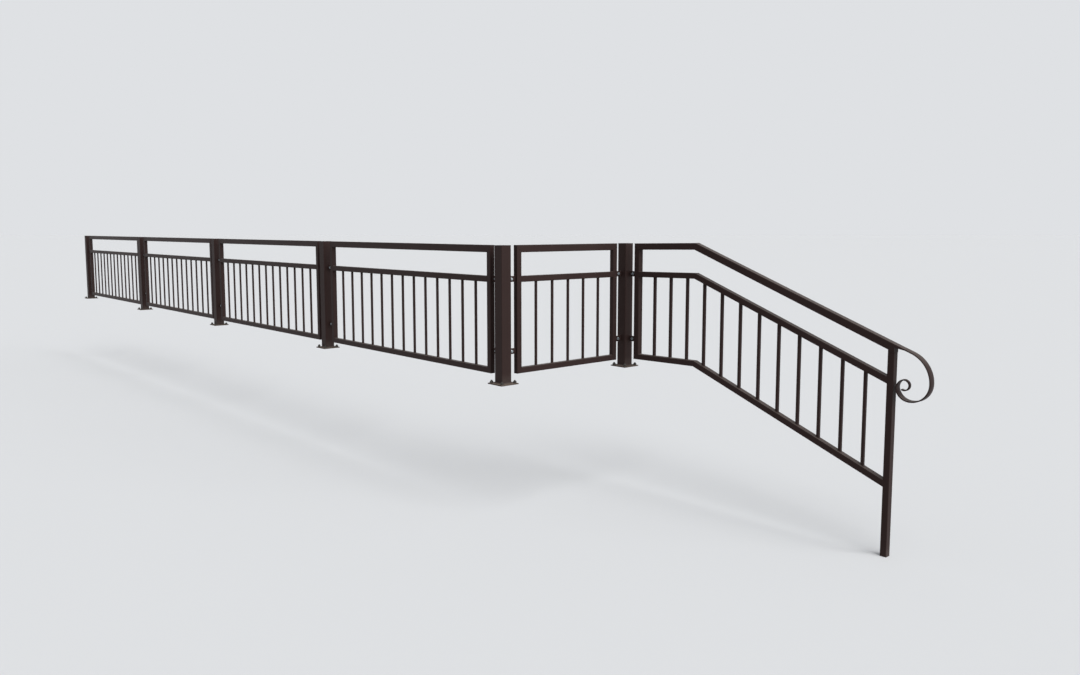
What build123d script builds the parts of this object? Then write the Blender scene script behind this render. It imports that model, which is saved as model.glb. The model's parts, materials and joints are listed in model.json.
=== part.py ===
# Metal terrace railing: five flat bays on square posts, and a stair panel that ends in a scroll.
#
# Frame, in millimetres. The origin lies under the base plate of the corner post. The long run of
# four bays goes along -X, the return bay goes along +Y, and the stair panel goes along +X from the
# last post of the return, level at first and then down the stair. +Z is up, and z = 0 is the
# coping that the base plates stand on.

from build123d import *
from math import cos, radians, sin, tan
import os

# Layout
bay_pitch = 1970.0
long_bay_count = 4
return_pitch = 965.0
rail_height = 754.0

# Posts, their flat caps and their base plates
post_side = 65.0
post_wall = 3.0
post_corner_radius = 4.0
cap_thickness = 3.0
plate_side = 120.0
plate_thickness = 6.0
anchor_spacing = 90.0
anchor_hole_diameter = 12.0

# Mitred tube frames between the posts, with a mid rail and square bars
panel_gap = 56.5
panel_depth = 30.0
panel_foot = 48.0
tube_wall = 2.0
stile_width = 32.0
top_rail_height = 40.0
mid_rail_top = 585.0
mid_rail_height = 33.0
bottom_rail_height = 32.0
baluster_side = 12.0
long_bay_baluster_count = 13
return_bay_baluster_count = 5

# Stair panel, of larger tube than the bays, under a wider handrail
stair_panel_foot = 54.0
stair_panel_depth = 36.0
stair_handrail_depth = 40.0
stair_handrail_height = 38.0
stair_stile_width = 37.0
stair_rail_height = 32.0
stair_baluster_side = 15.0
stair_kink_x = 549.0
stair_kink_rise = 8.0
stair_slope_deg = 21.1
stair_length = 1713.0
stair_baluster_count = 12
end_post_width = 32.0
end_post_foot = -723.0
nose_length = 53.0
nose_root_height = 16.0

# Scroll at the foot of the handrail: a flat bar that turns clockwise in tangent arcs
scroll_bar_thickness = 6.0
scroll_lead = 30.0
scroll_radii = [145.0, 92.0, 67.5, 41.0, 25.0]
scroll_turns_deg = [70.0, 94.0, 66.0, 82.0, 237.0]

# Fixings that hold each panel to its posts: two bolted lug pairs a side, set back from the front
lug_heights = [174.0, 570.0]
lug_half_height = 16.0
lug_thickness = 6.0
lug_setback = 7.0
bolt_diameter = 8.0
bolt_hole_clearance = 1.0
bolt_head_across_flats = 13.0
bolt_head_height = 5.3
bolt_nut_height = 6.5
bolt_thread_past_nut = 2.0
fixing_side_count = 8

# How far a bore is drawn past the open end that it leaves
bore_overrun = 60.0

# Worked out from the dimensions above
stile_start = post_side / 2 + panel_gap
clear_start = stile_start + stile_width
bottom_top = panel_foot + bottom_rail_height
slope = tan(radians(stair_slope_deg))
stair_clear_start = stile_start + stair_stile_width
stair_bottom_top = stair_panel_foot + stair_rail_height
end_post_near = stair_length - end_post_width / 2
end_post_far = stair_length + end_post_width / 2
nose_tip = end_post_far + nose_length
post_places = [(-bay_pitch * step, 0.0) for step in range(long_bay_count, -1, -1)]
post_places.append((0.0, return_pitch))
stair_origin = Location((0, return_pitch, 0))


def side_face(points):
    """Flat face from points given as x and z."""
    return make_face(Polyline(*points, close=True))


def across(face, depth):
    """Solid with the given side view, centred across Y."""
    return extrude(Plane.XZ * face, depth / 2, both=True)


def tube(outline, run, depth=panel_depth):
    """Tube with the side view outline, and a bore that lies one wall inside the longer view run."""
    bore = offset(side_face(run), -tube_wall, kind=Kind.INTERSECTION)
    return across(side_face(outline), depth) - across(bore, depth - 2 * tube_wall)


def box_view(left, right, foot, top):
    """Corner points of an upright rectangle."""
    return [(left, foot), (right, foot), (right, top), (left, top)]


def make_post(foot_z):
    """Hollow post with a flat cap welded on top."""
    outline = RectangleRounded(post_side, post_side, post_corner_radius)
    bore_side = post_side - 2 * post_wall
    post = Pos(0, 0, foot_z) * extrude(outline, rail_height - foot_z)
    bore_length = rail_height - cap_thickness - foot_z
    bore = Pos(0, 0, foot_z) * extrude(Rectangle(bore_side, bore_side), bore_length)
    return post - bore


def make_base_plate():
    """Square flange under a post, with an anchor hole near each corner."""
    holes = GridLocations(anchor_spacing, anchor_spacing, 2, 2) * Circle(anchor_hole_diameter / 2)
    return extrude(Rectangle(plate_side, plate_side) - holes, plate_thickness)


def even_places(start, end, count, width):
    """Centres of bars that leave equal clear gaps between start and end."""
    pitch = (end - start + width) / (count + 1)
    return [start + pitch * (index + 1) - width / 2 for index in range(count)]


def make_bay(length, baluster_count):
    """Members of one flat bay, from the axis of one post to the axis of the next along +X."""
    first, last = stile_start, length - stile_start
    inner_first, inner_last = clear_start, length - clear_start
    run_first, run_last = first - bore_overrun, last + bore_overrun
    top_foot = rail_height - top_rail_height
    mid_foot = mid_rail_top - mid_rail_height

    top_rail = tube(
        [(first, rail_height), (last, rail_height), (inner_last, top_foot), (inner_first, top_foot)],
        box_view(run_first, run_last, top_foot, rail_height),
    )
    bottom_rail = tube(
        [(first, panel_foot), (last, panel_foot), (inner_last, bottom_top), (inner_first, bottom_top)],
        box_view(run_first, run_last, panel_foot, bottom_top),
    )
    mid_rail = tube(
        box_view(inner_first, inner_last, mid_foot, mid_rail_top),
        box_view(run_first, run_last, mid_foot, mid_rail_top),
    )
    stile = tube(
        [(first, panel_foot), (inner_first, bottom_top), (inner_first, top_foot), (first, rail_height)],
        box_view(first, inner_first, panel_foot - bore_overrun, rail_height + bore_overrun),
    )
    baluster = extrude(Rectangle(baluster_side, baluster_side), mid_foot - bottom_top)
    baluster_places = even_places(inner_first, inner_last, baluster_count, baluster_side)
    return {
        "top_rail": top_rail,
        "infill_rails": Compound([mid_rail, bottom_rail]),
        "stiles": Compound([stile, Pos(length, 0, 0) * Rot(0, 0, 180) * stile]),
        "balusters": Compound([Pos(x, 0, bottom_top) * baluster for x in baluster_places]),
    }


def stair_line(start_x, end_x, level_z, drop):
    """Points of a line that lies `drop` square below the stair panel's bent line at level_z."""
    rise = stair_kink_rise / (stair_kink_x - stile_start)
    first_normal = Vector(rise, -1).normalized()
    second_normal = Vector(-slope, -1).normalized()
    bisector = (first_normal + second_normal).normalized()
    kink = Vector(stair_kink_x, level_z + stair_kink_rise)
    bend = kink + bisector * (drop / bisector.dot(first_normal))
    start_z = bend.Y - rise * (bend.X - start_x)
    end_z = bend.Y - slope * (end_x - bend.X)
    return [(start_x, start_z), (bend.X, bend.Y), (end_x, end_z)]


def bent_view(upper_start, lower_start, end, top_z, height):
    """Side view of a rail along the stair panel's bent line, square to it where it bends."""
    upper = stair_line(upper_start, end, top_z, 0)
    return upper + stair_line(lower_start, end, top_z, height)[::-1]


def handrail_view():
    """Side view of the stair handrail, with the thin tapered nose that the scroll bar leaves."""
    upper = stair_line(stile_start, nose_tip, rail_height, 0)
    nose_end = stair_line(stile_start, nose_tip, rail_height, scroll_bar_thickness)[-1]
    nose_root = stair_line(stile_start, end_post_far, rail_height, nose_root_height)[-1]
    lower = stair_line(stair_clear_start, end_post_far, rail_height, stair_handrail_height)
    return upper + [nose_end, nose_root] + lower[::-1]


def make_stair_panel():
    """Members of the stair panel, from the axis of the last return post along +X."""
    run_start, run_end = stile_start - bore_overrun, end_post_near + bore_overrun
    mid_underside = (stair_clear_start, end_post_near, mid_rail_top, stair_rail_height)
    bottom_underside = (stile_start, end_post_near, stair_bottom_top, stair_rail_height)

    handrail = tube(
        handrail_view(),
        bent_view(run_start, run_start, end_post_far, rail_height, stair_handrail_height),
        stair_handrail_depth,
    )
    mid_rail = tube(
        bent_view(stair_clear_start, *mid_underside),
        bent_view(run_start, run_start, run_end, mid_rail_top, stair_rail_height),
        stair_panel_depth,
    )
    bottom_rail = tube(
        bent_view(stair_clear_start, *bottom_underside),
        bent_view(run_start, run_start, run_end, stair_bottom_top, stair_rail_height),
        stair_panel_depth,
    )

    stile_top = stair_line(stile_start, end_post_far, rail_height, 0)[0]
    stile_inner_top = stair_line(stair_clear_start, end_post_far, rail_height, stair_handrail_height)[0]
    stile_inner_foot = stair_line(stair_clear_start, end_post_near, stair_bottom_top, 0)[0]
    stile = tube(
        [stair_line(*bottom_underside)[0], stile_inner_foot, stile_inner_top, stile_top],
        box_view(stile_start, stair_clear_start, -bore_overrun, rail_height + bore_overrun),
        stair_panel_depth,
    )

    bar_zone = stair_line(stair_clear_start, end_post_near, stair_bottom_top, 0)
    bar_zone += stair_line(*mid_underside)[::-1]
    bar_slab = across(side_face(bar_zone), stair_baluster_side)
    tall_bar = Box(stair_baluster_side, stair_baluster_side, 4 * rail_height)
    bar_ends = (stair_clear_start, end_post_near, stair_baluster_count, stair_baluster_side)
    bar_places = even_places(*bar_ends)

    near_top = stair_line(stair_clear_start, end_post_near, rail_height, stair_handrail_height)[-1]
    far_top = stair_line(stair_clear_start, end_post_far, rail_height, stair_handrail_height)[-1]
    end_post = tube(
        [(end_post_near, end_post_foot), (end_post_far, end_post_foot), far_top, near_top],
        box_view(end_post_near, end_post_far, end_post_foot, rail_height + bore_overrun),
        stair_panel_depth,
    )
    return {
        "stair_handrail": handrail,
        "stair_infill_rails": Compound([mid_rail, bottom_rail]),
        "stair_stile": stile,
        "stair_balusters": Compound([(Pos(x, 0, 0) * tall_bar) & bar_slab for x in bar_places]),
        "stair_end_post": end_post,
        "handrail_scroll": make_scroll(),
    }


def make_scroll():
    """Flat bar that leaves the handrail's nose, curls down and back, and closes in a small ring."""
    half = scroll_bar_thickness / 2
    along = Vector(1, -slope).normalized()
    square = Vector(slope, 1).normalized()
    top = Vector(stair_line(stile_start, nose_tip, rail_height, 0)[-1])
    bottom = Vector(stair_line(stile_start, nose_tip, rail_height, scroll_bar_thickness)[-1])
    lead_end = (top + bottom) * 0.5 + along * scroll_lead
    outside = [Line(top, lead_end + square * half)]
    inside = [Line(bottom, lead_end - square * half)]
    for radius, turn in zip(scroll_radii, scroll_turns_deg):
        outside.append(JernArc(outside[-1] @ 1, outside[-1] % 1, radius + half, -turn))
        inside.append(JernArc(inside[-1] @ 1, inside[-1] % 1, radius - half, -turn))
    ends = [Line(top, bottom), Line(outside[-1] @ 1, inside[-1] @ 1)]
    return across(make_face(outside + inside + ends), stair_handrail_depth)


def few_sided(radius):
    """Polygon with flats at the given radius, for the round parts of the many small fixings."""
    turn = 180 / fixing_side_count
    return RegularPolygon(radius, fixing_side_count, major_radius=False, rotation=turn)


def make_lug(face_x, bolt_x):
    """Flat lug in the X-Z plane, welded to a face at face_x, with an eye about bolt_x."""
    shank = Pos((face_x + bolt_x) / 2, 0) * Rectangle(abs(bolt_x - face_x), 2 * lug_half_height)
    eye = Pos(bolt_x, 0) * few_sided(lug_half_height)
    hole = Pos(bolt_x, 0) * few_sided((bolt_diameter + bolt_hole_clearance) / 2)
    return extrude(Plane.XZ * (shank + eye - hole), lug_thickness)


def make_bolt(at_x):
    """Hexagon bolt with its nut, through both lugs, with its head on the -Y side."""
    grip = 2 * lug_thickness
    shank_length = grip + bolt_nut_height + bolt_thread_past_nut
    hexagon = RegularPolygon(bolt_head_across_flats / 2, 6, major_radius=False)
    head = extrude(hexagon, bolt_head_height)
    shank = Pos(0, 0, bolt_head_height) * extrude(few_sided(bolt_diameter / 2), shank_length)
    nut = Pos(0, 0, bolt_head_height + grip) * extrude(hexagon, bolt_nut_height)
    return Location((at_x, -lug_thickness - bolt_head_height, 0), (-90, 0, 0)) * (head + shank + nut)


def make_fixings():
    """Fixings of one panel side, along +X from the axis of its post."""
    post_face = post_side / 2
    bolt_x = post_face + panel_gap / 2
    panel_lug = Pos(0, lug_setback, 0) * make_lug(stile_start, bolt_x)
    post_lug = Pos(0, lug_setback + lug_thickness, 0) * make_lug(post_face, bolt_x)
    bolt = Pos(0, lug_setback, 0) * make_bolt(bolt_x)
    return {
        "post_lugs": [Pos(0, 0, z) * post_lug for z in lug_heights],
        "panel_lugs": [Pos(0, 0, z) * panel_lug for z in lug_heights],
        "fixing_bolts": [Pos(0, 0, z) * bolt for z in lug_heights],
    }


def save(name, shape):
    """Write one named piece."""
    shape.label = name
    export_step(shape, f"parts/{name}.step")


os.makedirs("parts", exist_ok=True)

post = make_post(plate_thickness)
base_plate = make_base_plate()
for number, (x, y) in enumerate(post_places, start=1):
    save(f"post_{number}", Pos(x, y, 0) * post)
    save(f"base_plate_{number}", Pos(x, y, 0) * base_plate)

long_bay = make_bay(bay_pitch, long_bay_baluster_count)
return_bay = make_bay(return_pitch, return_bay_baluster_count)
long_bay_places = [Location((x, y, 0)) for x, y in post_places[:long_bay_count]]
return_place = Location((0, 0, 0), (0, 0, 90))
bays = [(place, long_bay) for place in long_bay_places] + [(return_place, return_bay)]
for number, (place, members) in enumerate(bays, start=1):
    for member, shape in members.items():
        save(f"bay_{number}_{member}", place * shape)

for name, shape in make_stair_panel().items():
    save(name, stair_origin * shape)

near_places = [stair_origin] + long_bay_places + [return_place]
far_places = [place * Pos(bay_pitch, 0, 0) for place in long_bay_places]
far_places.append(return_place * Pos(return_pitch, 0, 0))
for name, shapes in make_fixings().items():
    solids = [place * shape for place in near_places for shape in shapes]
    solids += [place * mirror(shape, about=Plane.YZ) for place in far_places for shape in shapes]
    save(name, Compound(solids))
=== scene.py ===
"""Metal terrace railing: rounded tubes and bars, welds, fixings, anchors and finishes."""

import json
import logging
import math
from contextlib import contextmanager
from dataclasses import dataclass
from enum import Enum
from itertools import accumulate, product
from statistics import fmean
from typing import Callable, Iterable, Iterator

import bpy
from bpy.types import Material, Mesh, Node, NodeSocket, Object, World
from mathutils import Matrix, Vector, noise


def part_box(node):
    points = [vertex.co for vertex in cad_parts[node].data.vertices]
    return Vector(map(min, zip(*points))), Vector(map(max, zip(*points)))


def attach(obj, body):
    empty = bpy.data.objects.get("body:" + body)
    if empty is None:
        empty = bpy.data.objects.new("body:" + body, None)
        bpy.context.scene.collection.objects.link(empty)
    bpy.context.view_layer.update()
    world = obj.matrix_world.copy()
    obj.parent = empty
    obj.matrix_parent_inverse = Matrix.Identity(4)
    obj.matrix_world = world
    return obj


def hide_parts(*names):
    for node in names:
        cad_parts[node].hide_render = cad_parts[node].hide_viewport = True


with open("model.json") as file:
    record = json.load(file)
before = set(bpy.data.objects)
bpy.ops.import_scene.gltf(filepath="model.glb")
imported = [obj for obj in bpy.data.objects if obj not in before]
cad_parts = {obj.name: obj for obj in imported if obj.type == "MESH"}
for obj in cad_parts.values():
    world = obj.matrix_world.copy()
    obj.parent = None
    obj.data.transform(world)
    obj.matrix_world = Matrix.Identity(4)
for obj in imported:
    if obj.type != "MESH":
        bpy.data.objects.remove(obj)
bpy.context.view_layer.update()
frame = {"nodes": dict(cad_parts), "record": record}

log = logging.getLogger("railing")

Points = list[Vector]
Corners = tuple[Vector, Vector]
Triple = tuple[float, float, float]
Place = tuple[int, int, int]
Test = Callable[[Points], bool]

MM = 0.001
UP = Vector((0, 0, 1))
UNSCALED = (1.0, 1.0, 1.0)
NOISE_SEED = 7

# How far apart two places may lie and still be taken for one
SAME = 0.05 * MM

# A colour mix node's sockets share their names with others, so they are found by number
MIX_SHARE, MIX_FIRST, MIX_SECOND, MIX_RESULT = 0, 6, 7, 2


class Part(Enum):
    """What an edit-mode selection is made of."""

    POINTS = "VERT"
    EDGES = "EDGE"
    FACES = "FACE"


class Run(Enum):
    """Which way a panel runs: the index of its long axis, of its thin axis, and its outer side."""

    ALONG_X = (0, 1, -1)
    ALONG_Y = (1, 0, 1)

    def __init__(self, long_axis: int, thin_axis: int, outer_side: int) -> None:
        """Keep both axes, and the sign of the thin axis on the side that the bolt heads face."""
        self.long_axis, self.thin_axis, self.outer_side = long_axis, thin_axis, outer_side


def linear(colour: str) -> tuple[float, ...]:
    """Return the linear red, green and blue of an sRGB hex colour, and an alpha of one."""
    parts = [int(colour[i : i + 2], 16) / 255 for i in (1, 3, 5)]
    return (*(c / 12.92 if c <= 0.04045 else ((c + 0.055) / 1.055) ** 2.4 for c in parts), 1.0)


def points_of(node: str) -> Points:
    """Return the points of a CAD node."""
    return [vertex.co.copy() for vertex in frame["nodes"][node].data.vertices]


def solid_boxes(node: str) -> list[Corners]:
    """Find the box of each separate solid in a CAD node.

    Args:
        node: The node's name.

    Returns:
        Lowest and highest corner of each solid, in metres.
    """
    owner: dict[Place, Place] = {}

    def root(place: Place) -> Place:
        """Follow a place to the one that stands for its solid.

        Args:
            place: Any place.

        Returns:
            The solid's own place.
        """
        while owner[place] != place:
            place = owner[place]
        return place

    points = points_of(node)
    places = [tuple(round(c * 1e5) for c in point) for point in points]
    for place in places:
        owner[place] = place
    for edge in frame["nodes"][node].data.edges:
        first, last = (root(places[i]) for i in edge.vertices)
        owner[first] = last
    found: dict[Place, Points] = {}
    for place, point in zip(places, points):
        found.setdefault(root(place), []).append(point)
    return [box_of(solid) for solid in found.values()]


def box_of(points: Iterable[Vector]) -> Corners:
    """Return the lowest and highest corner of the box round some points."""
    columns = list(zip(*points))
    return Vector([min(c) for c in columns]), Vector([max(c) for c in columns])


def middle(box: Corners) -> Vector:
    """Return the centre of a box."""
    return (box[0] + box[1]) / 2


def rise(edge: Points) -> float:
    """Return how far an edge climbs from one end to the other."""
    return abs(edge[0].z - edge[1].z)


def placed(side: Vector, along: Vector, place: Vector) -> Matrix:
    """Return the placement that turns +X to one side and +Z along a line, at a place."""
    turn = Matrix((side, along.cross(side), along)).transposed().to_4x4()
    return Matrix.Translation(place) @ turn


class Graph:
    """The node tree of a material or of the world, built a node at a time."""

    def __init__(self, owner: Material | World) -> None:
        """Empty a node tree and take it over.

        Args:
            owner: The material or world that it belongs to.
        """
        owner.use_nodes = True
        self.owner = owner
        self.tree = owner.node_tree
        self.tree.nodes.clear()

    def add(self, kind: str, inputs: dict | None = None, **settings: str | int) -> Node:
        """Add a node with its settings, and fill or link its inputs.

        Args:
            kind: The node's Blender type.
            inputs: Socket names or numbers, each with a value, a socket, or a node whose first
                output is linked.
            settings: The node's own attributes.

        Returns:
            The new node.
        """
        node = self.tree.nodes.new(kind)
        for name, value in settings.items():
            setattr(node, name, value)
        for name, value in (inputs or {}).items():
            if isinstance(value, Node):
                value = value.outputs[0]
            if isinstance(value, NodeSocket):
                self.tree.links.new(value, node.inputs[name])
            else:
                node.inputs[name].default_value = value
        return node


@dataclass(frozen=True)
class CoatedSteel:
    """Steel tube under a polyester powder coat, sprayed dry and baked.

    The coat is one even satin skin over edges and welds, with a faint orange peel. Outdoors, dust
    settles on what faces the sky, and upward faces are also lightened as painted top light. Driven
    rain splashes grit on the weather side of a foot.
    """

    name: str
    coat: str = "#2a1e1c"
    worn_coat: str = "#322523"
    # The pale colour stands for dust and, on upward faces, partly for painted top light
    dust: str = "#867f78"
    dust_and_light_on_top: float = 0.22
    dust_at_foot: float = 0.0
    foot_level: float = 0.0
    splash_height: float = 70 * MM
    roughness: float = 0.46
    dust_roughness: float = 0.95
    specular: float = 0.1
    peel_size: float = 3 * MM
    peel_height: float = 0.3 * MM
    peel_strength: float = 0.12
    patch_size: float = 60 * MM
    speckle_size: float = 8 * MM
    edge_radius: float = 1.2 * MM

    def build(self) -> Material:
        """Make the material.

        Returns:
            The coat, its dust and its grain.
        """
        graph = Graph(bpy.data.materials.new(self.name))
        place = graph.add("ShaderNodeTexCoord").outputs["Object"]
        # Tones as wide as a hand, from rain that dried in patches
        wide = {"Vector": place, "Scale": 0.3 / self.patch_size, "Detail": 3.0}
        tones = {MIX_FIRST: linear(self.coat), MIX_SECOND: linear(self.worn_coat)}
        patches = {MIX_SHARE: graph.add("ShaderNodeTexNoise", wide), **tones}
        coat = graph.add("ShaderNodeMix", patches, data_type="RGBA")

        # Mix towards the pale colour: dust, and on upward faces partly painted top light
        amount = self.add_dust_and_top_light(graph, place)
        layers = {MIX_FIRST: coat.outputs[MIX_RESULT], MIX_SECOND: linear(self.dust)}
        colour = graph.add("ShaderNodeMix", {MIX_SHARE: amount, **layers}, data_type="RGBA")
        wear = {"Value": amount, "To Min": self.roughness, "To Max": self.dust_roughness}
        # Orange peel, drawn a little coarser than the real one so that it shows
        fine = {"Vector": place, "Scale": 0.5 / self.peel_size, "Detail": 2.0}
        relief = {
            "Height": graph.add("ShaderNodeTexNoise", fine),
            "Strength": self.peel_strength,
            "Distance": self.peel_height,
            "Normal": graph.add("ShaderNodeBevel", {"Radius": self.edge_radius}, samples=4),
        }
        skin = {
            "Base Color": colour.outputs[MIX_RESULT],
            "Roughness": graph.add("ShaderNodeMapRange", wear),
            "Specular IOR Level": self.specular,
            "Normal": graph.add("ShaderNodeBump", relief),
        }
        shader = graph.add("ShaderNodeBsdfPrincipled", skin)
        graph.add("ShaderNodeOutputMaterial", {"Surface": shader})
        return graph.owner

    def add_dust_and_top_light(self, graph: Graph, place: NodeSocket) -> Node:
        """Work out where dust and painted top light lie, broken up by speckle a few millimetres
        wide.

        Args:
            graph: The material's nodes.
            place: The surface's place.

        Returns:
            The node with the share of dust and painted top light.
        """
        surface = graph.add("ShaderNodeNewGeometry").outputs["Normal"]
        facing = graph.add("ShaderNodeSeparateXYZ", {"Vector": surface}).outputs
        # Faces turned to the sky are mixed pale: settled dust, and partly painted top light
        sky = {"Value": facing["Z"], "From Min": 0.45, "From Max": 0.95, "To Max": self.dust_and_light_on_top}
        dust = graph.add("ShaderNodeMapRange", sky, interpolation_type="SMOOTHSTEP")
        if self.dust_at_foot:
            splash = self.add_splash(graph, place, facing["X"])
            dust = graph.add("ShaderNodeMath", {0: dust, 1: splash}, operation="MAXIMUM")
        small = {"Vector": place, "Scale": 0.5 / self.speckle_size, "Detail": 5.0}
        speckle = graph.add("ShaderNodeTexNoise", {**small, "Roughness": 0.65})
        cover = {"Value": speckle, "From Min": 0.3, "From Max": 0.7, "To Min": 0.55, "To Max": 1.15}
        both = {0: dust, 1: graph.add("ShaderNodeMapRange", cover)}
        return graph.add("ShaderNodeMath", both, operation="MULTIPLY", use_clamp=True)

    def add_splash(self, graph: Graph, place: NodeSocket, outward: NodeSocket) -> Node:
        """Add the grit that rain throws up from the ground on the weather side of a foot.

        Args:
            graph: The material's nodes.
            place: The surface's place.
            outward: How far the surface faces the weather.

        Returns:
            The node with the share of grit.
        """
        height = graph.add("ShaderNodeSeparateXYZ", {"Vector": place}).outputs["Z"]
        low = {
            "Value": height,
            "From Min": self.foot_level + self.splash_height,
            "From Max": self.foot_level + 0.1 * self.splash_height,
            "To Max": self.dust_at_foot,
        }
        weather = {"Value": outward, "From Min": -0.2, "From Max": 0.8, "To Min": 0.25}
        reach, side = (
            graph.add("ShaderNodeMapRange", limits, interpolation_type="SMOOTHSTEP")
            for limits in (low, weather)
        )
        return graph.add("ShaderNodeMath", {0: reach, 1: side}, operation="MULTIPLY")


@dataclass(frozen=True)
class ZincPlate:
    """Steel fasteners electroplated with zinc and passivated.

    The plate is a thin bluish-grey metal skin, bright where it is new, with a cloudy bloom.
    """

    name: str
    bright: str = "#b4bcc2"
    bloom: str = "#84898a"
    bloom_size: float = 4 * MM
    roughness: float = 0.34
    bloom_roughening: float = 0.3

    def build(self) -> Material:
        """Make the material.

        Returns:
            The plated metal and its bloom.
        """
        graph = Graph(bpy.data.materials.new(self.name))
        place = graph.add("ShaderNodeTexCoord").outputs["Object"]
        small = {"Vector": place, "Scale": 0.5 / self.bloom_size, "Detail": 4.0}
        cloud = graph.add("ShaderNodeTexNoise", small)
        tones = {MIX_SHARE: cloud, MIX_FIRST: linear(self.bright), MIX_SECOND: linear(self.bloom)}
        colour = graph.add("ShaderNodeMix", tones, data_type="RGBA")
        roughest = self.roughness + self.bloom_roughening
        wear = {"Value": cloud, "To Min": self.roughness, "To Max": roughest}
        skin = {
            "Base Color": colour.outputs[MIX_RESULT],
            "Roughness": graph.add("ShaderNodeMapRange", wear),
            "Metallic": 1.0,
        }
        shader = graph.add("ShaderNodeBsdfPrincipled", skin)
        graph.add("ShaderNodeOutputMaterial", {"Surface": shader})
        return graph.owner


class Finishes:
    """Every finish on the railing, each made once."""

    def __init__(self) -> None:
        """Make the coats of the posts, panels and plates, and the zinc of their fasteners."""
        self.posts = CoatedSteel(
            "powder_coat_posts", dust_at_foot=0.1, edge_radius=1.5 * MM
        ).build()
        self.panels = CoatedSteel("powder_coat_panels").build()
        self.end_post = CoatedSteel(
            "powder_coat_end_post", dust_at_foot=0.1, foot_level=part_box("stair_end_post")[0].z
        ).build()
        # The plates' pale tops are grit and dust, and partly painted top light
        self.plates = CoatedSteel(
            "powder_coat_gritty_plates_painted_top_light", dust="#7a6e62", dust_and_light_on_top=0.58, dust_at_foot=0.35
        ).build()
        self.zinc = ZincPlate("zinc_plate_bright").build()
        self.weathered = ZincPlate(
            "zinc_plate_weathered", bright="#5d5a56", bloom="#3a3633", roughness=0.5
        ).build()


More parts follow.
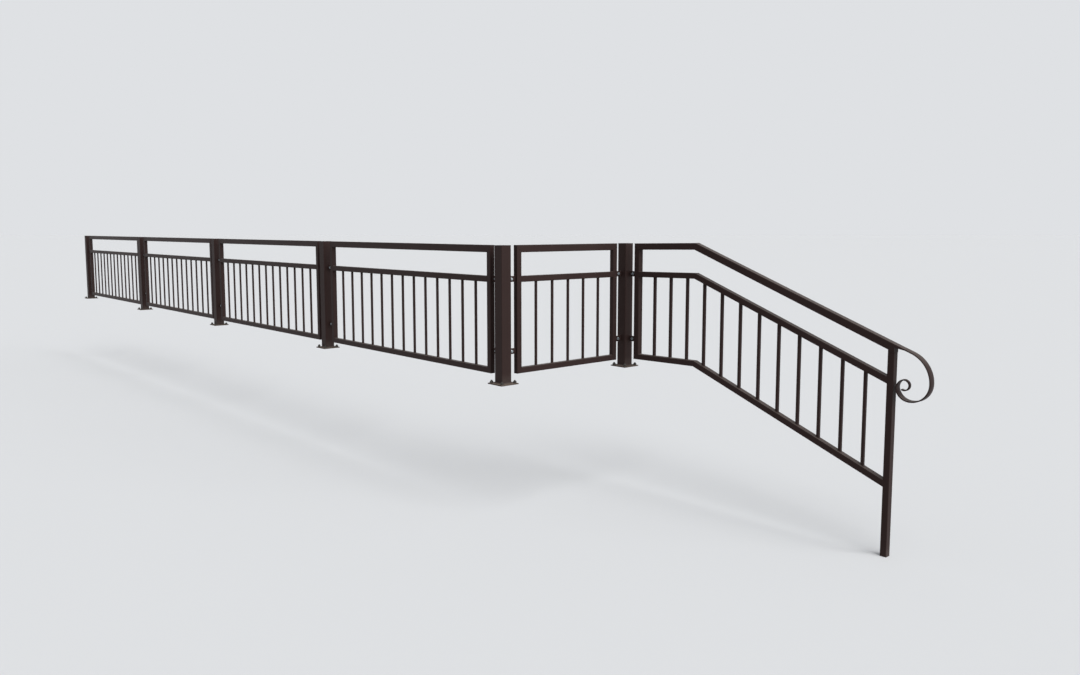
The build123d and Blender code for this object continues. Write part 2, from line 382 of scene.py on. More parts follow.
class Bench:
    """The modelling steps that every piece shares."""

    @staticmethod
    def clear() -> None:
        """Leave edit mode and deselect everything."""
        if bpy.context.object and bpy.context.object.mode != "OBJECT":
            bpy.ops.object.mode_set(mode="OBJECT")
        bpy.ops.object.select_all(action="DESELECT")

    @staticmethod
    def hold(*pieces: Object) -> None:
        """Select some pieces alone and make the first one active.

        Args:
            pieces: The pieces.
        """
        Bench.clear()
        for piece in pieces:
            piece.select_set(True)
        bpy.context.view_layer.objects.active = pieces[0]

    @staticmethod
    def start(scale: Triple) -> Object:
        """Take the primitive just added, and put its scale and place into its mesh.

        Args:
            scale: Its scale along each axis.

        Returns:
            The new piece, at the origin.
        """
        piece = bpy.context.object
        piece.scale = scale
        bpy.ops.object.transform_apply(location=True, rotation=True, scale=True)
        return piece

    @staticmethod
    @contextmanager
    def edit(piece: Object, part: Part, wanted: Test = lambda points: True) -> Iterator[None]:
        """Select some of a piece in edit mode, and leave edit mode at the end of the with block.

        Args:
            piece: The piece to work on.
            part: What to select.
            wanted: Tells from an element's points whether it is selected.

        Yields:
            Nothing, once the selection stands.
        """
        Bench.hold(piece)
        bpy.ops.object.mode_set(mode="EDIT")
        bpy.ops.mesh.select_mode(type=part.value)
        bpy.ops.mesh.select_all(action="DESELECT")
        bpy.ops.object.mode_set(mode="OBJECT")
        mesh = piece.data
        choice = {Part.POINTS: mesh.vertices, Part.EDGES: mesh.edges, Part.FACES: mesh.polygons}
        for item in choice[part]:
            corners = [item.index] if part is Part.POINTS else item.vertices
            item.select = wanted([mesh.vertices[i].co for i in corners])
        bpy.ops.object.mode_set(mode="EDIT")
        yield
        bpy.ops.object.mode_set(mode="OBJECT")

    @staticmethod
    def soften(piece: Object, wanted: Test, radius: float, steps: int = 2) -> None:
        """Round the wanted edges of a piece by a radius, in some steps."""
        with Bench.edit(piece, Part.EDGES, wanted):
            bpy.ops.mesh.bevel(offset=radius, segments=steps, affect="EDGES")

    @staticmethod
    def smooth(piece: Object, degrees: float = 35.0) -> None:
        """Shade a piece smooth, apart from its sharp edges."""
        Bench.hold(piece)
        bpy.ops.object.shade_smooth_by_angle(angle=math.radians(degrees))

    @staticmethod
    def keep_flat(piece: Object) -> None:
        """Shade a piece smooth, with flat faces that stay flat beside its rounded edges.

        Args:
            piece: The piece.
        """
        Bench.smooth(piece)
        weighting = piece.modifiers.new("flat_faces", "WEIGHTED_NORMAL")
        weighting.keep_sharp = True
        bpy.ops.object.modifier_apply(modifier=weighting.name)

    @staticmethod
    def copy_node(node: str) -> Object:
        """Copy a CAD node's mesh, with its loose triangles merged into whole faces.

        Args:
            node: The CAD node.

        Returns:
            The copy, which stands where the node stands.
        """
        piece = bpy.data.objects.new(f"{node}_rounded", frame["nodes"][node].data.copy())
        bpy.context.scene.collection.objects.link(piece)
        Bench.hold(piece)
        if piece.data.has_custom_normals:
            bpy.ops.mesh.customdata_custom_splitnormals_clear()
        with Bench.edit(piece, Part.POINTS):
            bpy.ops.mesh.remove_doubles(threshold=0.01 * MM)
            bpy.ops.mesh.dissolve_limited(angle_limit=math.radians(0.5))
        return piece

    @staticmethod
    def join(pieces: list[Object]) -> Object:
        """Join some pieces.

        Args:
            pieces: The pieces.

        Returns:
            The first one, which now holds them all.
        """
        Bench.hold(*pieces)
        bpy.ops.object.join()
        return pieces[0]

    @staticmethod
    def repeat(model: Object, places: list[Matrix], name: str) -> Object:
        """Copy a model to each place, join the copies, and remove the model.

        Args:
            model: The piece, modelled at the origin.
            places: Where each copy goes.
            name: The joined piece's name.

        Returns:
            One piece that holds every copy.
        """
        copies = []
        for place in places:
            copy = bpy.data.objects.new(name, model.data.copy())
            copy.data.transform(place)
            bpy.context.scene.collection.objects.link(copy)
            copies.append(copy)
        bpy.data.objects.remove(model)
        return Bench.join(copies)

    @staticmethod
    def dress(piece: Object, finish: Material, slot: str, *replaced: str) -> None:
        """Give a new piece its finish and its body.

        Args:
            piece: The piece.
            finish: Its material.
            slot: The record's material slot; not used.
            replaced: CAD nodes that the piece stands for.
        """
        piece.data.materials.clear()
        piece.data.materials.append(finish)
        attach(piece, "root")
        if replaced:
            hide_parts(*replaced)
        log.info("%s: %d faces", piece.name, len(piece.data.polygons))


class Stock:
    """Small shapes that repeat, each modelled once at the origin."""

    @staticmethod
    def fillet_weld(width: float, depth: float, leg: float) -> Object:
        """Model the weld round a bar that stands on a face, along +Z.

        Args:
            width: The bar's size along X.
            depth: The bar's size along Y.
            leg: How far the weld reaches up the bar and along the face.

        Returns:
            A low skirt with rounded corners and an uneven edge.
        """
        Bench.clear()
        bpy.ops.mesh.primitive_cube_add(size=1, location=(0, 0, leg / 2))
        foot_width, foot_depth = width + 2 * leg, depth + 2 * leg
        weld = Bench.start((foot_width, foot_depth, leg))
        with Bench.edit(weld, Part.FACES, lambda face: all(p.z > leg / 2 for p in face)):
            shrink = (1.02 * width / foot_width, 1.02 * depth / foot_depth, 1)
            bpy.ops.transform.resize(value=shrink)
        Bench.soften(weld, lambda edge: rise(edge) > leg / 2, 0.8 * leg)
        with Bench.edit(weld, Part.EDGES, lambda edge: (edge[0] - edge[1]).length > 2.5 * leg):
            bpy.ops.mesh.subdivide(number_cuts=2)
        ripple, unevenness = 0.6 / leg, 0.12 * leg
        for vertex in weld.data.vertices:
            vertex.co += noise.noise_vector(vertex.co * ripple) * unevenness
        Bench.smooth(weld, 60)
        return weld

    @staticmethod
    def bead(length: float, half_width: float, half_height: float) -> Object:
        """Model a straight run of weld along +Z, whose middle line is the Z axis.

        Args:
            length: How long the run is.
            half_width: Half its size along X.
            half_height: How far it stands out along Y.

        Returns:
            A rounded bead, a little uneven, with tapered ends.
        """
        bead = Stock.rod(8, 1, -length / 2, length / 2, (half_width, half_height, 1))
        with Bench.edit(bead, Part.EDGES, lambda edge: rise(edge) > length / 2):
            bpy.ops.mesh.subdivide(number_cuts=max(5, round(length / (5 * MM))))
        for vertex in bead.data.vertices:
            from_end = length / 2 - abs(vertex.co.z)
            taper = min(1.0, 0.4 + 0.3 * from_end / half_width)
            swell = 1 + 0.2 * noise.noise(Vector((half_width, 0, vertex.co.z)) / (4 * MM))
            vertex.co.x *= taper * swell
            vertex.co.y *= taper * swell
        Bench.smooth(bead, 60)
        return bead

    @staticmethod
    def rod(sides: int, radius: float, foot: float, top: float, scale: Triple = UNSCALED) -> Object:
        """Model a plain rod along +Z.

        Args:
            sides: How many flats it has.
            radius: Its radius at the corners.
            foot: Where it starts on the Z axis.
            top: Where it ends.
            scale: Its scale along each axis.

        Returns:
            The rod.
        """
        Bench.clear()
        bpy.ops.mesh.primitive_cylinder_add(
            vertices=sides, radius=radius, depth=top - foot, location=(0, 0, (foot + top) / 2)
        )
        return Bench.start(scale)


@dataclass(frozen=True)
class Threaded:
    """A metric thread with its nut and its washer, whose pieces are modelled along +Z."""

    radius: float
    pitch: float
    across_flats: float
    nut_height: float
    washer_radius: float
    washer_thickness: float

    def hexagon(self, height: float, foot: float) -> Object:
        """Model a bolt head or nut, chamfered at its top.

        Args:
            height: Its height.
            foot: Where it starts on the Z axis.

        Returns:
            The chamfered hexagon.
        """
        top, flats = foot + height, self.across_flats
        head = Stock.rod(6, flats / math.sqrt(3), foot, top)
        with Bench.edit(head, Part.FACES, lambda face: all(p.z > top - SAME for p in face)):
            bpy.ops.mesh.inset(thickness=0.07 * flats)
            bpy.ops.transform.translate(value=(0, 0, 0.05 * flats))
        Bench.soften(head, lambda edge: rise(edge) > height / 2, 0.03 * flats)
        Bench.smooth(head, 30)
        return head

    def washer(self, foot: float) -> Object:
        """Model a washer, seen with its hole filled by the thread.

        Args:
            foot: Where it starts on the Z axis.

        Returns:
            The disc with rounded rims.
        """
        washer = Stock.rod(28, self.washer_radius, foot, foot + self.washer_thickness)
        Bench.soften(washer, lambda edge: rise(edge) < SAME, 0.2 * self.washer_thickness)
        Bench.smooth(washer, 30)
        return washer

    def end(self, foot: float, top: float) -> Object:
        """Model the end of a threaded rod.

        Args:
            foot: Where it starts on the Z axis.
            top: Where it ends.

        Returns:
            The rod with its crests and its chamfered end.
        """
        rod = Stock.rod(20, self.radius, foot, top)
        rings = max(2, 2 * round((top - foot) / self.pitch))
        step = (top - foot) / rings
        for ring in range(1, rings):
            with Bench.edit(rod, Part.FACES):
                bpy.ops.mesh.bisect(plane_co=(0, 0, foot + ring * step), plane_no=UP)

        def in_root(points: Points) -> bool:
            """Tell whether a point lies in the bottom of a groove, or on the rod's end."""
            return round((points[0].z - foot) / step) % 2 == 1 or points[0].z > top - SAME

        with Bench.edit(rod, Part.POINTS, in_root):
            share = 1 - 0.6 * self.pitch / (2 * self.radius)
            bpy.ops.transform.resize(value=(share, share, 1))
        Bench.smooth(rod, 40)
        return rod


class Bead(Enum):
    """A weld's cross-section: half its width, and how far it stands out."""

    DRESSED = (1.8 * MM, 0.35 * MM)
    FILLET = (2.4 * MM, 2.4 * MM)


@dataclass(frozen=True)
class Seam:
    """A straight run of weld between two members."""

    start: Vector
    end: Vector
    outward: Vector
    bead: Bead = Bead.DRESSED
    trim: float = 1.5 * MM

    @property
    def length(self) -> float:
        """Length of the bead, whose ends stop just short of the members' rounded edges."""
        return (self.end - self.start).length - 2 * self.trim

    def placement(self) -> Matrix:
        """Return the placement that lays a bead, modelled along +Z, on this seam."""
        along = (self.end - self.start).normalized()
        return placed(self.outward.cross(along).normalized(), along, (self.start + self.end) / 2)


def lay_seams(seams: list[Seam], name: str) -> Object:
    """Lay a bead on every seam, from one model for each length and cross-section.

    Args:
        seams: The seams.
        name: The joined piece's name.

    Returns:
        One piece that holds every bead.
    """
    groups: dict[tuple[Bead, int], list[Seam]] = {}
    for seam in seams:
        groups.setdefault((seam.bead, round(seam.length / MM)), []).append(seam)
    runs = []
    for (bead, length), members in groups.items():
        model = Stock.bead(length * MM, *bead.value)
        runs.append(Bench.repeat(model, [seam.placement() for seam in members], name))
    return Bench.join(runs)


@dataclass
class Panel:
    """One welded panel: its tubes and bars with rounded edges, and its welds."""

    prefix: str
    run: Run
    finish: Material
    tubes: tuple[str, ...] = ("top_rail", "infill_rails", "stiles")
    tube_edge: float = 2.4 * MM
    bar_edge: float = 0.9 * MM
    shortest_edge: float = 60 * MM
    shortest_level_edge: float = 50 * MM
    weld_leg: float = 2.2 * MM
    slot: str = "panel_coat"

    def round_member(self, member: str, radius: float, steps: int) -> None:
        """Replace one CAD node by a copy whose long edges are rounded.

        Args:
            member: The node's name after the prefix.
            radius: The edge radius.
            steps: How many faces round each edge.
        """
        node = f"{self.prefix}_{member}"
        piece = Bench.copy_node(node)
        low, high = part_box(node)
        thin = self.run.thin_axis

        def is_outer_edge(edge: Points) -> bool:
            """Tell whether an edge runs along the member on its outer skin, and isn't a mitre's.

            Args:
                edge: Its ends.

            Returns:
                Whether it is rounded.
            """
            on_skin = all(min(p[thin] - low[thin], high[thin] - p[thin]) < SAME for p in edge)
            same_skin = abs(edge[0][thin] - edge[1][thin]) < SAME
            length = (edge[0] - edge[1]).length
            shortest = self.shortest_level_edge if rise(edge) < length / 2 else self.shortest_edge
            return on_skin and same_skin and length > shortest

        Bench.soften(piece, is_outer_edge, radius, steps)
        Bench.keep_flat(piece)
        Bench.dress(piece, self.finish_of(member), self.slot, node)

    def finish_of(self, member: str) -> Material:
        """Return the finish of one member."""
        return self.finish

    def weld_bars(self, node: str) -> None:
        """Put a fillet weld round both ends of each bar.

        Args:
            node: The node that holds the bars.
        """
        boxes = solid_boxes(node)
        side = boxes[0][1][self.run.thin_axis] - boxes[0][0][self.run.thin_axis]
        weld = Stock.fillet_weld(side, side, self.weld_leg)
        places = []
        for box in boxes:
            centre = middle(box)
            for (height, tilt), flip in zip(self.bar_ends(node, box), (0, math.pi)):
                turn = Matrix.Rotation(tilt, 4, "Y") @ Matrix.Rotation(flip, 4, "X")
                places.append(Matrix.Translation((centre.x, centre.y, height)) @ turn)
        Bench.dress(Bench.repeat(weld, places, f"{node}_welds"), self.finish, self.slot)

    def bar_ends(self, node: str, box: Corners) -> list[tuple[float, float]]:
        """Return the height and tilt of a bar's lower and upper end."""
        return [(box[0].z, 0.0), (box[1].z, 0.0)]

    def at(self, along: float, across: float, height: float) -> Vector:
        """Return a point, or a direction, from its parts along, across and up the panel."""
        level = (along, across) if self.run is Run.ALONG_X else (across, along)
        return Vector((*level, height))

    def onto(self, point: Vector, face: Vector) -> Vector:
        """Return a point moved across the panel onto a face of a member."""
        return self.at(point[self.run.long_axis], face[self.run.thin_axis], point.z)

    def seams_on_faces(self, start: Vector, end: Vector, faces: Corners, bead: Bead) -> list[Seam]:
        """Lay a weld from a start to an end on both flat faces of a member, given by its box."""
        near, far = ((self.onto(start, face), self.onto(end, face)) for face in faces)
        return [Seam(*near, self.at(0, -1, 0), bead), Seam(*far, self.at(0, 1, 0), bead)]

    def seam_across(
        self, corner: Vector, faces: Corners, upward: int, bead: Bead = Bead.FILLET
    ) -> Seam:
        """Lay a weld across a member's depth, on top where upward is one and below at minus one."""
        return Seam(self.onto(corner, faces[0]), self.onto(corner, faces[1]), upward * UP, bead)

    def frame_seams(self) -> list[Seam]:
        """Find the seams of the frame.

        Returns:
            Those of its four mitred corners and of the mid rail's two ends.
        """
        axis = self.run.long_axis
        first, last = sorted(solid_boxes(f"{self.prefix}_stiles"), key=lambda box: box[0][axis])
        bottom, mid = sorted(solid_boxes(f"{self.prefix}_infill_rails"), key=lambda box: box[0].z)
        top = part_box(f"{self.prefix}_top_rail")
        seams = []
        for stile, outer, inner in ((first, first[0], first[1]), (last, last[1], last[0])):
            for outer_z, inner_z in ((top[1].z, top[0].z), (bottom[0].z, bottom[1].z)):
                corner, inside = self.at(outer[axis], 0, outer_z), self.at(inner[axis], 0, inner_z)
                seams += self.seams_on_faces(corner, inside, stile, Bead.DRESSED)
            low, high = (self.at(inner[axis], 0, face.z) for face in mid)
            seams += self.seams_on_faces(low, high, stile, Bead.DRESSED)
            for height, upward in ((mid[1].z, 1), (mid[0].z, -1), (top[0].z, -1), (bottom[1].z, 1)):
                seams.append(self.seam_across(self.at(inner[axis], 0, height), stile, upward))
        return seams

    def build(self) -> None:
        """Build the panel's pieces."""
        for tube in self.tubes:
            self.round_member(tube, self.tube_edge, 3)
        self.round_member("balusters", self.bar_edge, 2)
        self.weld_bars(f"{self.prefix}_balusters")
        seams = lay_seams(self.frame_seams(), f"{self.prefix}_frame_seams")
        Bench.dress(seams, self.finish, self.slot)


@dataclass
class StairPanel(Panel):
    """The stair panel, whose rails bend once and whose bars end on a slope."""

    tubes: tuple[str, ...] = ("handrail", "infill_rails", "stile", "end_post")
    foot_finish: Material | None = None
    rail_spacing: float = 60 * MM
    bend_reach: float = 40 * MM

    def finish_of(self, member: str) -> Material:
        """Return the finish of one member: the end post's foot is splashed."""
        return self.foot_finish if member == "end_post" and self.foot_finish else self.finish

    def rails_at(self, member: str, place: float, reach: float = SAME) -> list[Corners]:
        """Find where each of a member's tubes passes or ends at one place along the panel.

        Args:
            member: The node's name after the prefix.
            place: The place along X.
            reach: How far from the place a point may lie.

        Returns:
            The lowest and highest point of each tube there, from the bottom up.
        """
        near = [p for p in points_of(f"{self.prefix}_{member}") if abs(p.x - place) < reach]
        found: list[Corners] = []
        for point in sorted(near, key=lambda p: p.z):
            if found and point.z - found[-1][1].z < self.rail_spacing:
                found[-1] = (found[-1][0], point)
            else:
                found.append((point, point))
        return found

    def frame_seams(self) -> list[Seam]:
        """Find the seams of the stair's frame.

        Returns:
            Those of its corners, rail ends and bends, and the one where the scroll leaves the nose.
        """
        stile, end_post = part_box(f"{self.prefix}_stile"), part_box(f"{self.prefix}_end_post")
        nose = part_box(f"{self.prefix}_handrail")
        outer, inner = (self.rails_at("stile", face.x) for face in stile)
        (_, inner_foot), stile_mid = self.rails_at("infill_rails", stile[1].x)
        bottom, mid = self.rails_at("infill_rails", end_post[0].x)
        near_top, far_top = (self.rails_at("end_post", face.x)[-1][1] for face in end_post)

        lines = [
            (stile, outer[-1][1], inner[-1][1], Bead.FILLET),
            (stile, outer[0][0], inner_foot, Bead.DRESSED),
            (end_post, near_top, far_top, Bead.FILLET),
        ]
        corners = [(inner[-1][1], -1), (inner_foot, 1), (near_top, -1), (far_top, -1)]
        for faces, (low, high) in ((stile, stile_mid), (end_post, bottom), (end_post, mid)):
            lines.append((faces, low, high, Bead.DRESSED))
            corners += [(low, -1), (high, 1)]
        seams = [self.seam_across(corner, stile, upward) for corner, upward in corners]
        for faces, start, end, bead in lines:
            seams += self.seams_on_faces(start, end, faces, bead)
        crest = max(points_of(f"{self.prefix}_handrail"), key=lambda point: point.z)
        for member in ("handrail", "infill_rails"):
            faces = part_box(f"{self.prefix}_{member}")
            for under, upper in self.rails_at(member, crest.x, self.bend_reach):
                seams += self.seams_on_faces(under, upper, faces, Bead.DRESSED)
                seams.append(self.seam_across(upper, faces, 1, Bead.DRESSED))
        for tip, upward in zip(self.rails_at("handrail", nose[1].x)[-1], (-1, 1)):
            seams.append(self.seam_across(tip, nose, upward, Bead.DRESSED))
        return seams

    def bar_ends(self, node: str, box: Corners) -> list[tuple[float, float]]:
        """Work out where a bar meets its rails, from how slanted its ends are.

        Args:
            node: The node that holds the bars.
            box: The bar's box.

        Returns:
            The height and tilt at the bar's axis of its lower and upper end.
        """
        near, far = box[0].x - SAME, box[1].x + SAME
        bar = [point for point in points_of(node) if near < point.x < far]
        centre = middle(box)
        ends = []
        for end in ([p for p in bar if p.z < centre.z], [p for p in bar if p.z > centre.z]):
            left = fmean(p.z for p in end if p.x < centre.x)
            right = fmean(p.z for p in end if p.x > centre.x)
            ends.append(((left + right) / 2, -math.atan2(right - left, box[1].x - box[0].x)))
        return ends


@dataclass
class Scroll:
    """The flat bar that curls from the handrail's nose, drawn down in width towards its ring."""

    finish: Material
    node: str = "handrail_scroll"
    edge_radius: float = 0.8 * MM
    end_width: float = 18 * MM
    narrows_from: float = 0.70
    narrow_by: float = 0.87

    def outline_from_root(self, mesh: Mesh) -> Points:
        """Find the bar's outline, as seen from its flat side, from the nose round and back.

        Args:
            mesh: The bar at its full width, whose flat sides are one face each.

        Returns:
            The outline's points in order, or none where the bar's root isn't found.
        """
        near_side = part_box(self.node)[0].y
        faces = [[mesh.vertices[i].co for i in face.vertices] for face in mesh.polygons]
        sides = [face for face in faces if all(p.y - near_side < SAME for p in face)]
        outline = [point.copy() for point in max(sides, key=len)]
        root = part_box("stair_handrail")[1].x
        at_root = [abs(point.x - root) < SAME for point in outline]
        starts = [i for i in range(len(outline)) if at_root[i] and at_root[i - 1]]
        return outline[starts[0] :] + outline[: starts[0]] if starts else []

    def draw_down(self, piece: Object) -> None:
        """Narrow the bar towards its end, as a smith does before the last turn.

        Args:
            piece: The bar at its full width.
        """
        outline = self.outline_from_root(piece.data)
        if not outline:
            log.warning("%s keeps its width, because its root was not found", self.node)
            return
        low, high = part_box(self.node)
        centre = middle((low, high)).y
        steps = ((after - before).length for before, after in zip(outline, outline[1:]))
        reached = list(accumulate(steps, initial=0.0))
        narrowed = 1 - self.end_width / (high.y - low.y)
        for vertex in piece.data.vertices:
            gaps = [math.hypot(vertex.co.x - point.x, vertex.co.z - point.z) for point in outline]
            along = 1 - abs(2 * reached[gaps.index(min(gaps))] / reached[-1] - 1)
            step = (along - self.narrows_from) / (self.narrow_by - self.narrows_from)
            step = min(1.0, max(0.0, step))
            width = 1 - narrowed * step * step * (3 - 2 * step)
            vertex.co.y = centre + (vertex.co.y - centre) * width

    def build(self) -> None:
        """Replace the CAD bar by a copy with softened edges and a smooth curl."""
        piece = Bench.copy_node(self.node)
        self.draw_down(piece)
        centre = middle(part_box(self.node)).y
        # An edge lies on a rim where both its ends are on the same flat side
        Bench.soften(piece, lambda e: (e[0].y - centre) * (e[1].y - centre) > 0, self.edge_radius)
        Bench.smooth(piece)
        Bench.dress(piece, self.finish, "panel_coat", self.node)


@dataclass
class Fixings:
    """Lugs and bolts that hold the panels to the posts."""

    coat: Material
    zinc: Material
    bolt: Threaded = Threaded(
        radius=4 * MM, pitch=1.25 * MM, across_flats=13 * MM, nut_height=6.5 * MM,
        washer_radius=8.5 * MM, washer_thickness=1.4 * MM,
    )
    head_height: float = 5.3 * MM
    thread_past_nut: float = 2 * MM
    eye_steps: int = 36
    rim_radius: float = 0.8 * MM
    weld_leg: float = 3 * MM

    def model_bolt(self, grip: float) -> Object:
        """Model a bolt along +Z with its head on top, its washers and its nut.

        Args:
            grip: The thickness that it holds, half above and half below the origin.

        Returns:
            The bolt.
        """
        bolt = self.bolt
        outside = grip / 2 + bolt.washer_thickness
        head = bolt.hexagon(self.head_height, outside)
        washers = [bolt.washer(grip / 2), bolt.washer(-outside)]
        nut = bolt.hexagon(bolt.nut_height, outside)
        end = bolt.end(grip / 2, outside + bolt.nut_height + self.thread_past_nut)
        for piece in (nut, end):
            piece.data.transform(Matrix.Rotation(math.pi, 4, "X"))
        return Bench.join([head, *washers, nut, end])

    def build_bolts(self) -> None:
        """Replace the CAD bolts by bolts with washers, chamfered heads, nuts and threads."""
        boxes = solid_boxes("fixing_bolts")
        size = boxes[0][1] - boxes[0][0]
        grip = max(size.x, size.y) - self.head_height - self.bolt.nut_height - self.thread_past_nut
        places = []
        for box in boxes:
            size, centre, outward = box[1] - box[0], middle(box), Vector((0, 0, 0))
            run = Run.ALONG_X if size.y > size.x else Run.ALONG_Y
            axis, side = run.thin_axis, run.outer_side
            outward[axis] = side
            near_end = box[0] if side < 0 else box[1]
            centre[axis] = near_end[axis] - side * (self.head_height + grip / 2)
            places.append(placed(UP.cross(outward), outward, centre))
        bolts = Bench.repeat(self.model_bolt(grip), places, "panel_bolts")
        Bench.dress(bolts, self.zinc, "bolt_zinc", "fixing_bolts")

    def model_lug(self, shank: float, height: float, thickness: float) -> Object:
        """Model a flat lug whose round eye is at the origin and whose foot is welded at -X.

        Args:
            shank: The distance from the eye's centre to the foot.
            height: Its height, which is the eye's diameter.
            thickness: Its thickness along Y.

        Returns:
            The lug and its weld.
        """
        lug = Stock.rod(self.eye_steps, height / 2, -thickness / 2, thickness / 2)
        lug.data.transform(Matrix.Rotation(math.pi / 2, 4, "X"))
        with Bench.edit(lug, Part.POINTS, lambda points: points[0].x < -SAME):
            bpy.ops.transform.translate(value=(-shank, 0, 0))
        foot = Vector((-shank, 0, 0))
        with Bench.edit(lug, Part.FACES):
            bpy.ops.mesh.bisect(plane_co=foot, plane_no=(1, 0, 0), use_fill=True, clear_inner=True)

        def on_rim(edge: Points) -> bool:
            """Tell whether an edge lies on the lug's rim, away from its welded foot."""
            level = abs(edge[0].y - edge[1].y) < SAME
            return level and max(p.x for p in edge) > SAME - shank

        Bench.soften(lug, on_rim, self.rim_radius)
        Bench.smooth(lug, 30)
        weld = Stock.fillet_weld(height, thickness, self.weld_leg)
        weld.data.transform(Matrix.Translation(foot) @ Matrix.Rotation(math.pi / 2, 4, "Y"))
        return Bench.join([lug, weld])

    def build_lugs(self, node: str) -> None:
        """Replace CAD lugs by lugs with round eyes, softened rims and a weld at the foot.

        Args:
            node: The CAD node of the lugs.
        """
        bolts = [middle(box) for box in solid_boxes("fixing_bolts")]
        boxes = solid_boxes(node)
        size = boxes[0][1] - boxes[0][0]
        places = []
        for centre in map(middle, boxes):
            bolt = min(bolts, key=lambda place: (place - centre).length)
            along = 0 if abs(bolt.x - centre.x) > abs(bolt.y - centre.y) else 1
            eye = centre.copy()
            eye[along] = bolt[along]
            angle = math.atan2(eye.y - centre.y, eye.x - centre.x)
            places.append(Matrix.Translation(eye) @ Matrix.Rotation(angle, 4, "Z"))
        lug = self.model_lug(max(size.x, size.y) - size.z / 2, size.z, min(size.x, size.y))
        Bench.dress(Bench.repeat(lug, places, f"{node}_round"), self.coat, "fixing_coat", node)

    def build(self) -> None:
        """Build every fixing."""
        self.build_bolts()
        for node in ("post_lugs", "panel_lugs"):
            self.build_lugs(node)


@dataclass
class Posts:
    """The posts and their base plates with softened rims, their welds, and the anchors."""

    coat: Material
    plate_coat: Material
    anchor: Material
    stud: Threaded = Threaded(
        radius=5 * MM, pitch=1.5 * MM, across_flats=17 * MM, nut_height=8 * MM,
        washer_radius=10 * MM, washer_thickness=2 * MM,
    )
    stud_height: float = 16 * MM
    rim_radius: float = 1.0 * MM
    weld_leg: float = 4.5 * MM
    cap_thickness: float = 3 * MM
    cap_seam_height: float = 1.8 * MM
    cap_seam_proud: float = 0.5 * MM
    corner_radius: float = 4 * MM

    def soften_rims(self, node: str, finish: Material, slot: str) -> None:
        """Replace a CAD post or base plate by a copy whose top rim and sharp corners are rounded.

        Args:
            node: The CAD node.
            finish: Its finish.
            slot: The record's material slot.
        """
        piece = Bench.copy_node(node)
        low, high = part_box(node)
        centre, half = middle((low, high)), (high.x - low.x) / 2

        def on_rim(edge: Points) -> bool:
            """Tell whether an edge lies on the upper face's outline, or runs up a sharp corner.

            Args:
                edge: Its ends.

            Returns:
                Whether it is rounded.
            """
            sides = [sorted((abs(p.x - centre.x), abs(p.y - centre.y))) for p in edge]
            on_top = all(p.z > high.z - SAME for p in edge)
            outline = all(side[1] > half - self.corner_radius / 2 for side in sides)
            corner = all(side[0] > half - SAME for side in sides)
            return (on_top and outline) or (corner and rise(edge) > MM)

        Bench.soften(piece, on_rim, self.rim_radius)
        Bench.keep_flat(piece)
        Bench.dress(piece, finish, slot, node)

    def model_cap_seam(self, side: float) -> Object:
        """Model the dressed weld that runs round a post just under its cap.

        Args:
            side: The post's size across its flats.

        Returns:
            A low band with rounded corners and rims, as far under the origin as the cap is thick.
        """
        Bench.clear()
        bpy.ops.mesh.primitive_cube_add(size=1, location=(0, 0, -self.cap_thickness))
        width = side + 2 * self.cap_seam_proud
        band = Bench.start((width, width, self.cap_seam_height))
        corner_radius = self.corner_radius + self.cap_seam_proud
        Bench.soften(band, lambda edge: rise(edge) > MM / 2, corner_radius, 4)
        Bench.soften(band, lambda edge: rise(edge) < SAME, 0.45 * self.cap_seam_height)
        Bench.smooth(band, 50)
        return band

    def build_anchors(self, plate_top: float) -> None:
        """Set a stud, washer and nut in every hole of the base plates.

        Args:
            plate_top: The height of the plates' upper face.
        """
        nut = self.stud.hexagon(self.stud.nut_height, self.stud.washer_thickness)
        anchor = Bench.join([self.stud.washer(0), nut, self.stud.end(0, self.stud_height)])
        places = []
        for mount in frame["record"]["mounts"]:
            if mount["kind"] != "bolt_pattern":
                continue
            centre = Vector(mount["pos_m"])
            half_x, half_y = (mount["dims"][f"spacing_{axis}_mm"] * MM / 2 for axis in "xy")
            for x, y in product((-half_x, half_x), (-half_y, half_y)):
                turn = Matrix.Rotation(noise.random() * math.tau, 4, "Z")
                places.append(Matrix.Translation(centre + Vector((x, y, plate_top))) @ turn)
        Bench.dress(Bench.repeat(anchor, places, "anchor_sets"), self.anchor, "bolt_zinc")

    def build(self) -> None:
        """Build the posts, the base plates, the welds and the anchors."""
        names = [name for name in frame["nodes"] if name != "post_lugs"]
        nodes = [name for name in names if name.startswith("post_")]
        for node in nodes:
            self.soften_rims(node, self.coat, "post_coat")
        for node in (name for name in names if name.startswith("base_plate")):
            self.soften_rims(node, self.plate_coat, "plate_coat")
        posts = [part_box(node) for node in nodes]
        plate_top, post_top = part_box("base_plate_1")[1].z, posts[0][1].z
        side = posts[0][1].x - posts[0][0].x
        welds = [
            (Stock.fillet_weld(side, side, self.weld_leg), plate_top, "post_foot_welds"),
            (self.model_cap_seam(side), post_top, "post_cap_seams"),
        ]
        for model, height, name in welds:
            places = [Matrix.Translation((*middle(box).xy, height)) for box in posts]
            Bench.dress(Bench.repeat(model, places, name), self.coat, "post_coat")
        self.build_anchors(plate_top)


@dataclass(frozen=True)
class Lamp:
    """A wide far lamp: where it stands as seen from the object, its strength, and its spread."""

    name: str
    towards: Triple
    strength: float
    spread_degrees: float

    def build(self) -> None:
        """Hang the lamp."""
        data = bpy.data.lights.new(self.name, "SUN")
        data.energy = self.strength
        data.angle = math.radians(self.spread_degrees)
        lamp = bpy.data.objects.new(self.name, data)
        lamp.rotation_euler = Vector(self.towards).to_track_quat("Z", "Y").to_euler()
        bpy.context.scene.collection.objects.link(lamp)


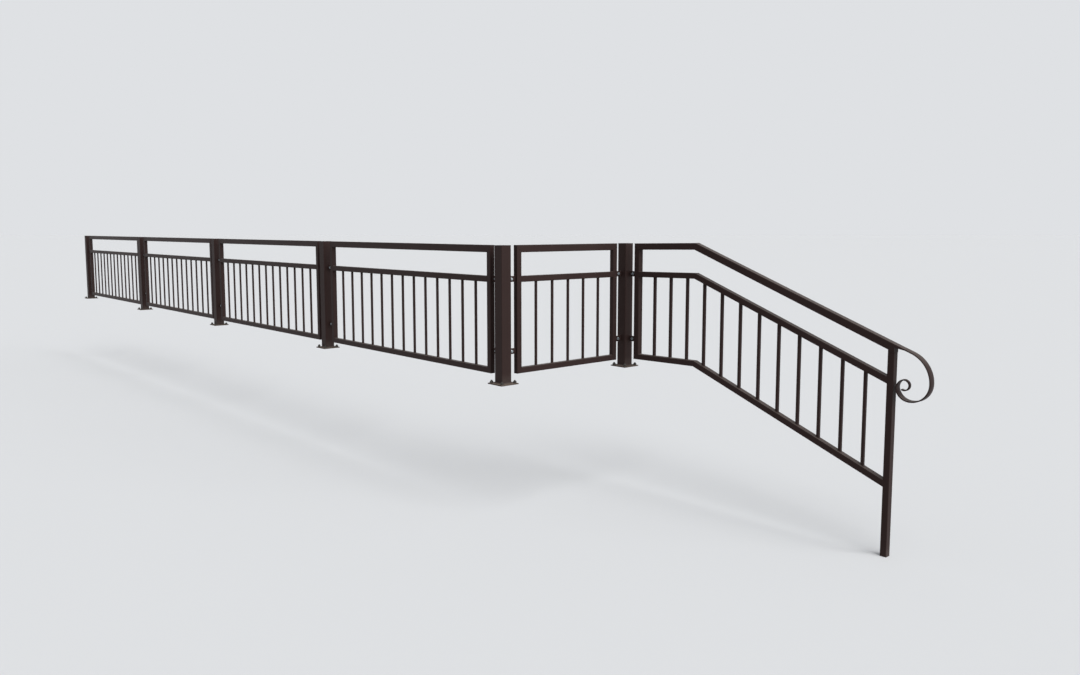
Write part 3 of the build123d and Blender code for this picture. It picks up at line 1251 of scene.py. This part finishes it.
@dataclass
class Studio:
    """Pale floor, soft light and the camera at the photograph's place."""

    floor_z: float
    camera_place: Triple = (3.688, -3.001, 0.8458)
    pitch_below_level: float = 0.1014
    turn_left: float = 0.8455
    focal_pixels: float = 882.6
    frame_pixels: tuple[int, int] = (1080, 675)
    centre_row: float = 317.8
    sensor_width: float = 36.0
    farthest_seen: float = 200.0
    lamps: tuple[Lamp, ...] = (
        Lamp("sky_lamp", (0.62, -0.18, 1.0), 2.3, 50),
        Lamp("side_lamp", (1.0, 0.10, 0.35), 2.1, 60),
    )
    ambient: float = 0.43
    ambient_colour: str = "#f2f5fa"
    backdrop: str = "#dfe1e4"
    floor_seen: str = "#cccdce"
    floor_bounce: str = "#9b9a98"
    floor_size: float = 800.0

    def build(self) -> None:
        """Build the floor, the lights, the world and the camera."""
        self.build_floor()
        self.build_world()
        for lamp in self.lamps:
            lamp.build()
        self.build_camera()

    def build_floor(self) -> None:
        """Lay a wide pale floor under the lowest foot."""
        Bench.clear()
        bpy.ops.mesh.primitive_plane_add(size=self.floor_size, location=(0, 0, self.floor_z))
        floor = bpy.context.object
        floor.name = "studio_floor"
        graph = Graph(bpy.data.materials.new("studio_floor_pale"))
        # Pale where it is seen or mirrored, and a mid grey where it throws light up on the object
        tones = {MIX_FIRST: linear(self.floor_bounce), MIX_SECOND: linear(self.floor_seen)}
        mixed = {MIX_SHARE: self.add_seen(graph), **tones}
        colour = graph.add("ShaderNodeMix", mixed, data_type="RGBA").outputs[MIX_RESULT]
        matt = {"Base Color": colour, "Roughness": 0.9, "Specular IOR Level": 0.0}
        shader = graph.add("ShaderNodeBsdfPrincipled", matt)
        graph.add("ShaderNodeOutputMaterial", {"Surface": shader})
        floor.data.materials.append(graph.owner)

    def add_seen(self, graph: Graph) -> Node:
        """Add nodes that give one where the camera, a mirror or glass looks, and zero elsewhere.

        Args:
            graph: The nodes of the floor or the world.

        Returns:
            The node with that value.
        """
        ray = graph.add("ShaderNodeLightPath").outputs
        rays = {0: ray["Is Camera Ray"], 1: ray["Is Glossy Ray"]}
        seen = graph.add("ShaderNodeMath", rays, operation="MAXIMUM")
        rays = {0: seen, 1: ray["Is Transmission Ray"]}
        return graph.add("ShaderNodeMath", rays, operation="MAXIMUM")

    def build_world(self) -> None:
        """Light the scene softly all round, with a pale background for what is seen or mirrored."""
        world = bpy.data.worlds.new("studio_world")
        bpy.context.scene.world = world
        graph = Graph(world)
        soft, pale = (
            graph.add("ShaderNodeBackground", {"Color": linear(colour), "Strength": strength})
            for colour, strength in ((self.ambient_colour, self.ambient), (self.backdrop, 1.0))
        )
        mix = graph.add("ShaderNodeMixShader", {0: self.add_seen(graph), 1: soft, 2: pale})
        graph.add("ShaderNodeOutputWorld", {"Surface": mix})

    def build_camera(self) -> None:
        """Set the camera where the photograph was taken."""
        data = bpy.data.cameras.new("photo_camera")
        data.sensor_width = self.sensor_width
        data.lens = self.focal_pixels / self.frame_pixels[0] * data.sensor_width
        data.shift_y = (self.centre_row - self.frame_pixels[1] / 2) / self.frame_pixels[0]
        data.clip_end = self.farthest_seen
        camera = bpy.data.objects.new("photo_camera", data)
        camera.location = self.camera_place
        camera.rotation_euler = (math.pi / 2 - self.pitch_below_level, 0, self.turn_left)
        bpy.context.scene.collection.objects.link(camera)
        bpy.context.scene.camera = camera
        bpy.context.scene.view_settings.view_transform = "Standard"


def main() -> None:
    """Build the railing's pieces in order, then the studio."""
    logging.basicConfig(level=logging.INFO, format="%(name)s: %(message)s")
    noise.seed_set(NOISE_SEED)
    finishes = Finishes()
    for rail in sorted(name for name in frame["nodes"] if name.endswith("_top_rail")):
        low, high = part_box(rail)
        run = Run.ALONG_X if high.x - low.x > high.y - low.y else Run.ALONG_Y
        Panel(rail.removesuffix("_top_rail"), run, finishes.panels).build()
    StairPanel("stair", Run.ALONG_X, finishes.panels, foot_finish=finishes.end_post).build()
    Scroll(finishes.panels).build()
    Fixings(finishes.panels, finishes.zinc).build()
    Posts(finishes.posts, finishes.plates, finishes.weathered).build()
    Studio(floor_z=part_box("stair_end_post")[0].z).build()
    Bench.clear()


if __name__ == "__main__":
    main()
